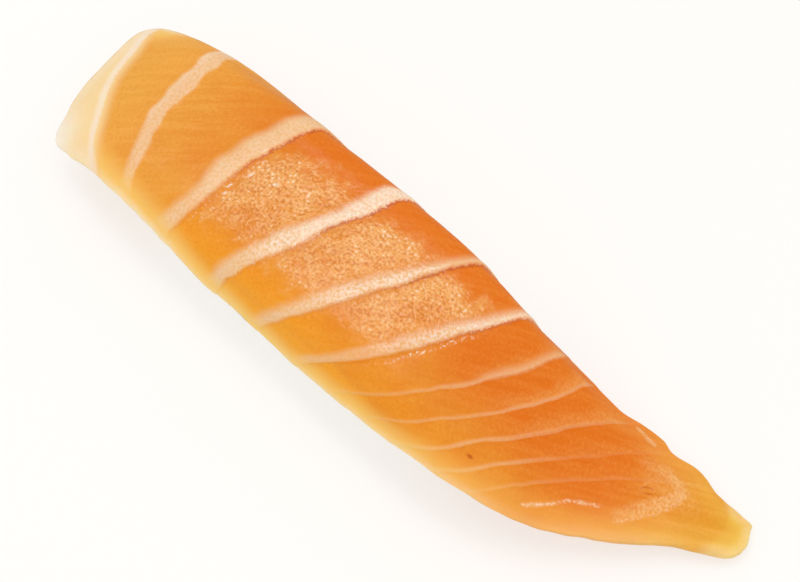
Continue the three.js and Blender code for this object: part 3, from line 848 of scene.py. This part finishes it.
def add_fat_lines(m, colour, clouds, grain, pebble):
    """The fat lines, whitened by painted sheen, with painted shade in the creases and painted glints on the
    moist ledges behind them, the gleams, whitish glint specks and rough film.
    """
    _, across, _ = m.read("flat")
    _, head, _ = m.read("tone")
    _, sheen, patch = m.read("marks")
    outside, side, bold = m.read("fat_line")
    step, _, glints = m.read("edges")
    _, gleams, glint_dots = m.read("film")
    torn = m.plus(m.sway(grain, 1), m.sway(pebble, 0.35))
    ragged = m.plus(outside, m.times(torn, bold))
    on_tail_side = m.ramp(side, 0.2, 1)
    # Painted shade in the crease behind each fat line's step.
    crease_shade = m.times(m.ramp(ragged, 0.05, 0.2), m.ramp(ragged, 0.22, 0.5, 1, 0), on_tail_side)
    crease_shade = m.times(crease_shade, m.ramp(across, -4, 4, 0.15, 0.9), m.ramp(step, 0.6, 1.1))
    soft = m.ramp(m.ramp(side, -1, 1), 0, 1, 0.95, 0.4)
    soft = m.times(soft, m.ramp(bold, 0.4, 0.9, 0.25, 1), m.ramp(head, 0.3, 0.8, 1, 0.45))
    fatness = m.ramp(ragged, m.times(soft, -1), soft, 1, 0)
    # The fat whitens with the painted sheen of the level top.
    white_and_sheen = m.times(m.ramp(pebble, 0.36, 0.6), m.ramp(sheen, 0, 1, 0.3, 0.9))
    whiter = m.times(m.ramp(bold, 0.95, 1.25), m.ramp(across, -9, -4))
    whiter = m.times(whiter, m.ramp(pebble, 0.4, 0.6, 0.45, 1))
    fat = m.layered(FAT, (FAT_WHITE_AND_SHEEN, m.larger(white_and_sheen, whiter)), (FAT_HEAD, m.ramp(head, 0.68, 1)))
    # Painted glints on the ledge behind each step.
    off = m.plus(outside, m.sway(clouds, 1.5, 0.6))
    ledge_glint = m.times(m.ramp(off, 0.25, 0.5), m.ramp(off, 0.6, 1, 1, 0), on_tail_side)
    ledge_glint = m.times(ledge_glint, m.times(glints, m.ramp(across, 5, 2)), m.ramp(pebble, 0.5, 0.62))
    ledge_glint = m.times(ledge_glint, m.ramp(clouds, 0.4, 0.6, 0.3, 0.9), m.ramp(step, 0.9, 1.1, 0.8, 0.3))
    return m.layered(
        colour,
        (CREASE_SHADE, crease_shade),
        (fat, m.times(fatness, bold)),
        (GLINT, m.times(m.larger(ledge_glint, m.times(gleams, 0.85)), m.ramp(sheen, 0, 0.05))),
        (FAT_WHITE_AND_SHEEN, m.times(glint_dots, m.ramp(pebble, 0.46, 0.64, 0.05, 0.55))),
        (PALE_FILM_AND_SHEEN, m.times(patch, m.ramp(grain, 0.35, 0.65, 0.1, 0.6))),
    )


def add_rim(m, colour, clouds, grain):
    """The cut edge, pale with painted light shining through it, browner at both ends, and the dark red spot
    and the painted shade in the creases round the oval.
    """
    _, across, depth = m.read("flat")
    _, head, tail = m.read("tone")
    inset, fleck_and_shade, beyond = m.read("rim")
    yellow, cream, _ = m.read("paling")
    frayed = m.plus(inset, m.sway(grain, 0.9))
    flesh = m.ramp(beyond, 0.2, 0.9, 1, 0)
    # Painted light shining through the thin edge: yellow, then cream.
    gold_glow = m.mix(RIM_YELLOW_GLOW, TIP_YELLOW_GLOW, tail)
    tail_end = m.times(m.ramp(tail, 0, 0.5), m.ramp(yellow, 0.7, 1, 1, 0.2))
    ends = m.larger(m.ramp(head, 0.9, 1), tail_end)
    right = m.times(m.ramp(inset, 0.2, 0.8, 1, 0), m.ramp(across, -8, 2, 0, 0.5))
    brown = m.larger(m.ramp(depth, 0.7, 1.3), right)
    return m.layered(
        colour,
        (gold_glow, m.times(m.ramp(frayed, 0.3, 5.2, 1, 0), yellow, flesh)),
        (RIM_CREAM_GLOW, m.times(cream, flesh, m.ramp(frayed, 0, 1.6, 0.8, 0))),
        (RIM_BROWN, m.times(brown, ends, m.ramp(clouds, 0.4, 0.6, 0.1, 0.4))),
        (FLECK_AND_SHADE_RED, m.times(fleck_and_shade, 0.8)),
    )


def salmon_material():
    m = Shader("Salmon")
    flat = m.vector("flat")
    turned = m.add("ShaderNodeVectorRotate", {"Vector": flat, "Angle": -FIBRE_TURN}, rotation_type="Z_AXIS")
    stretched = m.add(
        "ShaderNodeVectorMath", {0: turned.outputs[0], 1: (FIBRE_STRETCH, 1, 1)}, operation="MULTIPLY"
    )
    fibre = m.noise(stretched.outputs[0], 1.1, 3, 0.6)
    grain = m.noise(flat, 2.2, 3, 0.7)
    pebble = m.noise(flat, 2.35, 1, 0.5)
    clouds = m.noise(flat, 0.45)
    colour = flesh_colour(m, flat, clouds, fibre, grain, pebble)
    colour = add_fat_lines(m, colour, clouds, grain, pebble)
    _, sheen, _ = m.read("marks")
    rough = m.plus(m.times(pebble, m.ramp(sheen, 0, 1, 0.2, 1)), m.times(fibre, 0.25))
    relief = m.bump(rough, 1, 0.15 * MM)
    return m.finished({
        "Base Color": add_rim(m, colour, clouds, grain),
        "Roughness": m.ramp(fibre, 0.3, 0.7, 0.42, 0.5),
        "IOR": 1.36,
        "Specular IOR Level": 0.1,
        "Subsurface Weight": 0.3,
        "Subsurface Radius": (1, 0.45, 0.2),
        "Subsurface Scale": 1.4 * MM,
        "Coat Weight": m.ramp(sheen, 0, 1, 0.18, 0.6),
        "Coat Roughness": 0.2,
        "Coat IOR": 1.33,
        "Normal": relief,
        "Coat Normal": relief,
    })


def rice_material(name, light, shade):
    m = Shader(name)
    place = m.add("ShaderNodeTexCoord").outputs["Object"]
    cloud = m.noise(place, 260, 3, 0.6)
    fine = m.noise(place, 1500, 2, 0.5)
    return m.finished({
        "Base Color": m.mix(light, shade, m.ramp(cloud, 0.35, 0.75)),
        "Roughness": 0.36,
        "Subsurface Weight": 0.5,
        "Subsurface Radius": (1, 0.85, 0.6),
        "Subsurface Scale": 1.2 * MM,
        "Coat Weight": 0.25,
        "Coat Roughness": 0.2,
        "Normal": m.bump(fine, 0.5, 0.05 * MM),
    })


# ---------- rice on its own ----------
def plan_point(a, k):
    """The rice block's plan outline in the direction of angle a, scaled by k."""
    power = 2 / RICE_SQUARENESS
    x = np.sign(np.cos(a)) * np.abs(np.cos(a)) ** power
    y = np.sign(np.sin(a)) * np.abs(np.sin(a)) ** power
    return RICE_CENTRE[0] + x * RICE_HALF_LENGTH * k, RICE_CENTRE[1] + y * RICE_HALF_WIDTH * k


def build_core(slice_tree, material):
    """The bare block, a little inside the grains, its top laid just under the slice."""
    angles = np.linspace(0, 2 * math.pi, RICE_AROUND, endpoint=False)
    height, top_width = RICE_PROFILE[-1]
    rings = [(0, BOTTOM_WIDTH * i / BOTTOM_RINGS) for i in range(1, BOTTOM_RINGS)]
    rings += [(z, keyed(RICE_PROFILE, z)) for z in np.linspace(0, height, RICE_RINGS)]
    rings += [(height, top_width * (1 - i / TOP_RINGS)) for i in range(1, TOP_RINGS)]
    points = []
    for z, k in rings:
        x, y = plan_point(angles, k - CORE_FOOT * smooth(1 - z / FOOT_ROW))
        x = RICE_CENTRE[0] + (x - RICE_CENTRE[0]) * (1 - CORE_INSET / RICE_HALF_LENGTH)
        y = RICE_CENTRE[1] + (y - RICE_CENTRE[1]) * (1 - CORE_INSET / RICE_HALF_WIDTH)
        points += [under_slice(slice_tree, px, py, z) for px, py in zip(x, y)]
    middle_low = len(points)
    points.append((*RICE_CENTRE, 0.0))
    points.append(under_slice(slice_tree, *RICE_CENTRE, height))
    ring = lambda r: r * RICE_AROUND + np.arange(RICE_AROUND)
    faces = []
    for r in range(len(rings) - 1):
        low, high = ring(r), ring(r + 1)
        faces += np.stack([low, np.roll(low, -1), np.roll(high, -1), high], axis=-1).tolist()
    first, last = ring(0), ring(len(rings) - 1)
    faces += [(middle_low, int(q), int(p)) for p, q in zip(first, np.roll(first, -1))]
    faces += [(middle_low + 1, int(p), int(q)) for p, q in zip(last, np.roll(last, -1))]
    return new_piece("Rice_Core", points, faces, material)


def under_slice(slice_tree, x, y, z):
    """The point, lowered where needed to stay RICE_GAP below the slice."""
    hit, _, _, _ = slice_tree.ray_cast(Vector((x, y, -1)) * MM, Vector((0, 0, 1)))
    limit = z if hit is None else hit.z / MM - RICE_GAP
    return (float(x), float(y), float(max(0.0, min(z, limit))))


def grain_form():
    """A rounded, slightly bent grain of unit half sizes: points and faces."""
    stations = np.linspace(-1, 1, GRAIN_STATIONS + 2)[1:-1]
    points, faces = [(-1.0, 0.0, 0.0), (1.0, 0.0, 0.0)], []
    for x in stations:
        r = (1 - abs(x) ** GRAIN_BLUNT) ** (1 / GRAIN_ROUND)
        for i in range(GRAIN_SEGMENTS):
            a = 2 * math.pi * i / GRAIN_SEGMENTS
            points.append((x, r * math.cos(a) + GRAIN_BEND * (1 - x * x), r * math.sin(a)))
    ring = lambda k, i: 2 + k * GRAIN_SEGMENTS + i % GRAIN_SEGMENTS
    for i in range(GRAIN_SEGMENTS):
        faces.append((0, ring(0, i + 1), ring(0, i)))
        faces.append((1, ring(GRAIN_STATIONS - 1, i), ring(GRAIN_STATIONS - 1, i + 1)))
        for k in range(GRAIN_STATIONS - 1):
            faces.append((ring(k, i), ring(k, i + 1), ring(k + 1, i + 1), ring(k + 1, i)))
    return np.array(points), faces


def build_grains(slice_tree, material):
    """Grains laid against the block's side in two layers, clear of the slice and of the ground."""
    draw = np.random.default_rng(SEED)
    form, form_faces = grain_form()
    points, faces = [], []
    for sink, row_height, spacing in GRAIN_LAYERS:
        z = GRAIN_HALF[2] + 0.1
        while z < RICE_PROFILE[-1][0]:
            a = draw.uniform(0, 0.2)
            stop = a + 2 * math.pi
            while a < stop:
                waver = draw.uniform(-ROW_WAVER, ROW_WAVER) * (z > FOOT_ROW)
                placed = place_grain(form, a, z + waver, sink, draw)
                if clear_of(slice_tree, placed):
                    faces += [tuple(len(points) + q for q in f) for f in form_faces]
                    points += placed.tolist()
                a += grain_step(a, spacing * draw.uniform(*SPACING_SHARES))
            z += row_height
    return new_piece("Rice_Grains", points, faces, material)


def grain_step(a, stride):
    """The turn that walks a stride along the plan outline."""
    here = np.array(plan_point(a, 1))
    step = 0.0
    while np.hypot(*(np.array(plan_point(a + step, 1)) - here)) < stride:
        step += WALK_STEP
    return step


def place_grain(form, a, z, sink, draw):
    k = float(keyed(RICE_PROFILE, z))
    here = np.array(plan_point(a, k))
    ahead = np.array(plan_point(a + WALK_STEP, k)) - here
    ahead = ahead / np.hypot(*ahead)
    along, up = Vector((ahead[0], ahead[1], 0)), Vector((0, 0, 1))
    outward = along.cross(up)
    spin, tip = draw.uniform(-GRAIN_SPIN, GRAIN_SPIN), draw.uniform(-GRAIN_TIP, GRAIN_TIP)
    roll = draw.uniform(0, 2 * math.pi)
    if z < FOOT_ROW:
        spin, tip = FOOT_SPIN * spin, FOOT_TIP * tip
    size = np.array(GRAIN_HALF) * draw.uniform(*GRAIN_SIZES)
    size = size * np.array([draw.uniform(*GRAIN_LENGTHS), 1, 1])
    reach_down = max(size[2], size[0] * abs(math.sin(spin)) * math.cos(tip) + SPUN_ROOM)
    middle = Vector((here[0], here[1], max(z, reach_down))) - outward * sink
    pose = Matrix((along, up, outward)).transposed()
    for turn, axis in ((spin, "Z"), (tip, "Y"), (roll, "X")):
        pose = pose @ Matrix.Rotation(turn, 3, axis)
    return form * size @ np.array(pose).T + np.array(middle)


def clear_of(slice_tree, points):
    """True if no sampled point is inside the slice or near it, and none is at or under the ground."""
    if points[:, 2].min() < GROUND_CLEARANCE:
        return False
    for p in points[::3]:
        nearest, normal, _, distance = slice_tree.find_nearest(Vector(p) * MM)
        if distance < SLICE_CLEARANCE * MM or (Vector(p) * MM - nearest).dot(normal) < 0:
            return False
    return True


# ---------- studio ----------
PHOTO_FOCAL = 1500  # focal length in pixels of the 800 wide photograph
PHOTO_TILT = 64 * DEG  # how far its middle looks below the horizon
PHOTO_TURN = 39.3 * DEG  # turn of the piece in the row, seen from above
CAMERA_PLACE = (120.2, -93.9, 396.0)
AIM_OFFSET = (-117 / PHOTO_FOCAL, -120.5 / PHOTO_FOCAL)  # the piece's middle from the photograph's middle
CLOSER = 2.16  # how much larger the piece is shown than in the photograph
SENSOR = 36.0
FRAME_WIDTH = 800
WORLD_LIGHT, WORLD_GLOSS = 0.85, 0.4  # the surroundings as they light and as they mirror
FLOOR_GLOW = 0.63  # the floor is a light table
FLOOR_HALF = 3000  # mm


def add_camera():
    right = Vector((math.cos(PHOTO_TURN), math.sin(PHOTO_TURN), 0))
    level = Vector((-math.sin(PHOTO_TURN), math.cos(PHOTO_TURN), 0))
    forward = level * math.cos(PHOTO_TILT) - Vector((0, 0, math.sin(PHOTO_TILT)))
    up = right.cross(forward)
    aim = (forward + right * AIM_OFFSET[0] + up * AIM_OFFSET[1]).normalized()
    level_right = (right - aim * right.dot(aim)).normalized()
    camera = add_object("Camera", bpy.data.cameras.new("Camera"))
    camera.matrix_world = Matrix.Translation(Vector(CAMERA_PLACE) * MM) @ Matrix(
        (level_right, level_right.cross(aim), -aim)
    ).transposed().to_4x4()
    stretch = math.hypot(1, *AIM_OFFSET)
    camera.data.sensor_width = SENSOR
    camera.data.lens = PHOTO_FOCAL * CLOSER * stretch / FRAME_WIDTH * SENSOR
    camera.data.clip_start = 0.01
    camera.data.clip_end = 20
    bpy.context.scene.camera = camera


def add_floor():
    m = Shader("Studio_Floor")
    place = m.add("ShaderNodeTexCoord").outputs["Object"]
    material = m.finished({
        "Base Color": m.mix(linear(152, 151, 150), linear(155, 155, 154), m.noise(place, 6.0)),
        "Roughness": 0.6,
        "Emission Color": linear(255, 253, 250),
        "Emission Strength": FLOOR_GLOW,
    })
    corners = [(x * FLOOR_HALF, y * FLOOR_HALF, 0) for x, y in ((-1, -1), (1, -1), (1, 1), (-1, 1))]
    floor = new_piece("Studio_Floor", corners, [(0, 1, 2, 3)], material)
    floor.visible_glossy = False


def add_light(name, place, size, watts, diffuse=True, gloss=True):
    """A level rectangular area light that shines down, its long side along X."""
    lamp = bpy.data.lights.new(name, "AREA")
    lamp.shape = "RECTANGLE"
    lamp.size, lamp.size_y = size
    lamp.energy = watts
    light = add_object(name, lamp)
    light.location = place
    light.visible_camera = False
    light.visible_diffuse = diffuse
    light.visible_glossy = gloss


def add_studio():
    add_floor()
    add_light("Overhead_Softbox", (0.1, 0.05, 0.8), (0.9, 0.7), 1.5, gloss=False)
    add_light("Gloss_Card", (-0.2, 0.08, 0.55), (0.66, 0.1), 3.0, diffuse=False)
    world = bpy.data.worlds.new("Studio")
    world.use_nodes = True
    tree = world.node_tree
    background = tree.nodes["Background"]
    background.inputs["Color"].default_value = linear(255, 254, 252)
    strength = tree.nodes.new("ShaderNodeMapRange")
    strength.inputs["To Min"].default_value = WORLD_LIGHT
    strength.inputs["To Max"].default_value = WORLD_GLOSS
    tree.links.new(tree.nodes.new("ShaderNodeLightPath").outputs["Is Glossy Ray"], strength.inputs["Value"])
    tree.links.new(strength.outputs[0], background.inputs["Strength"])
    bpy.context.scene.world = world
    bpy.context.scene.view_settings.view_transform = "Standard"


def main():
    salmon = build_slice(salmon_material())
    depsgraph = bpy.context.evaluated_depsgraph_get()
    slice_tree = BVHTree.FromObject(salmon, depsgraph)
    core = build_core(slice_tree, rice_material("Rice_Core", linear(238, 232, 216), linear(226, 218, 200)))
    grains = build_grains(slice_tree, rice_material("Rice", linear(246, 243, 234), linear(236, 231, 218)))
    for piece in (salmon, core, grains):
        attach(piece, "root")
    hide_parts("salmon_slice")
    for piece in (core, grains):
        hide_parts("rice_block")
    add_camera()
    add_studio()


main()
